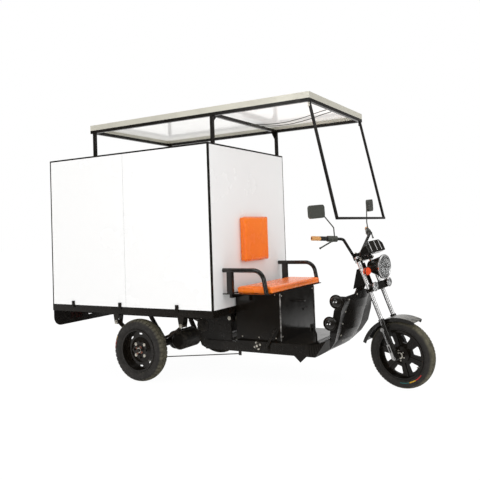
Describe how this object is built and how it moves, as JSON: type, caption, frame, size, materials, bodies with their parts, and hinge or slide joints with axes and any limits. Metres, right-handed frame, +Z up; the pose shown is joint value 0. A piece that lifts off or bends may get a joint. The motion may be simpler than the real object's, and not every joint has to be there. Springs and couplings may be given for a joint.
{
  "type": "auto rickshaw",
  "caption": "Electric three-wheeled cargo rickshaw with an enclosed white box body, framed roof, open cab with padded bench, hanging windshield frame and motorcycle-style fork.",
  "frame": {"origin": "on the ground under the centre of the bounding box", "axes": "+X forward, +Y to the rider's left, +Z up"},
  "size_m": [3.2459, 1.2562, 2.145],
  "materials": {
    "frame_black": "semi-gloss",
    "panel_white": "gloss",
    "floor_board": "matte film-faced board",
    "roof_aluminium": "satin",
    "plastic_black": "gloss",
    "orange_leather": "satin vinyl",
    "tyre_rubber": "matte",
    "wheel_black": "gloss",
    "chrome": "polished",
    "lamp_glass": "clear",
    "lamp_amber": "translucent amber",
    "lamp_red": "translucent red"
  },
  "bodies": {
    "chassis": {"back_rest": "orange_leather", "battery_pack": "frame_black", "bed_frame": "frame_black", "box_clamps": "frame_black", "box_frame": "frame_black", "brake_pedal": "frame_black", "brake_rod": "frame_black", "chassis_rails": "frame_black", "column_cover": "plastic_black", "door_hinges": "frame_black", "floor_pan": "frame_black", "floor_panel": "floor_board", "front_frame": "frame_black", "front_panel": "panel_white", "hand_lever": "frame_black", "horns": "frame_black", "leaf_springs": "frame_black", "leg_shield": "plastic_black", "low_frame": "frame_black", "rear_axle": "frame_black", "rear_dampers": "frame_black", "roof_edge": "roof_aluminium", "roof_frame": "frame_black", "roof_leads": "plastic_black", "roof_panel": "panel_white", "seat_box": "frame_black", "seat_cushion": "orange_leather", "seat_frame": "frame_black", "side_panels_left": "panel_white", "side_panels_right": "panel_white", "spring_hangers": "frame_black", "tail_apron": "frame_black", "tail_lamps": "lamp_red", "top_panel": "panel_white", "windshield_frame": "frame_black"},
    "steering": {"blinkers": "lamp_amber", "fog_lamps": "plastic_black", "fork_crowns": "frame_black", "fork_lower": "chrome", "fork_tubes": "chrome", "front_guard": "plastic_black", "grips": "plastic_black", "handlebar": "frame_black", "headlamp": "plastic_black", "headlamp_lens": "lamp_glass", "instrument_pod": "plastic_black", "mirrors": "plastic_black", "switches": "plastic_black"},
    "front_wheel": {"front_tyre": "tyre_rubber", "front_wheel": "wheel_black"},
    "rear_wheel_left": {"rear_tyre_left": "tyre_rubber", "rear_wheel_left": "wheel_black"},
    "rear_wheel_right": {"rear_tyre_right": "tyre_rubber", "rear_wheel_right": "wheel_black"},
    "door_left": {"door_left": "panel_white"},
    "door_right": {"door_right": "panel_white", "door_latch": "plastic_black"}
  },
  "joints": [
    {"name": "steering", "type": "hinge", "parent": "chassis", "child": "steering", "pos_m": [1.42444, 0, 0], "axis": [-0.3469, 0, 0.9379], "range_deg": [-9, 31]},
    {"name": "front_wheel_spin", "type": "hinge", "parent": "steering", "child": "front_wheel", "pos_m": [1.37754, -0.00815, 0.24761], "axis": [0.179, 0.9816, 0.0662], "continuous": true},
    {"name": "rear_wheel_left_spin", "type": "hinge", "parent": "chassis", "child": "rear_wheel_left", "pos_m": [-0.60896, 0.575, 0.25], "axis": [0, 1, 0], "continuous": true},
    {"name": "rear_wheel_right_spin", "type": "hinge", "parent": "chassis", "child": "rear_wheel_right", "pos_m": [-0.60896, -0.575, 0.25], "axis": [0, 1, 0], "continuous": true},
    {"name": "door_left_hinge", "type": "hinge", "parent": "chassis", "child": "door_left", "pos_m": [-1.59346, 0.581, 1.2], "axis": [0, 0, 1], "range_deg": [-170, 0]},
    {"name": "door_right_hinge", "type": "hinge", "parent": "chassis", "child": "door_right", "pos_m": [-1.59346, -0.581, 1.2], "axis": [0, 0, 1], "range_deg": [0, 170]}
  ]
}
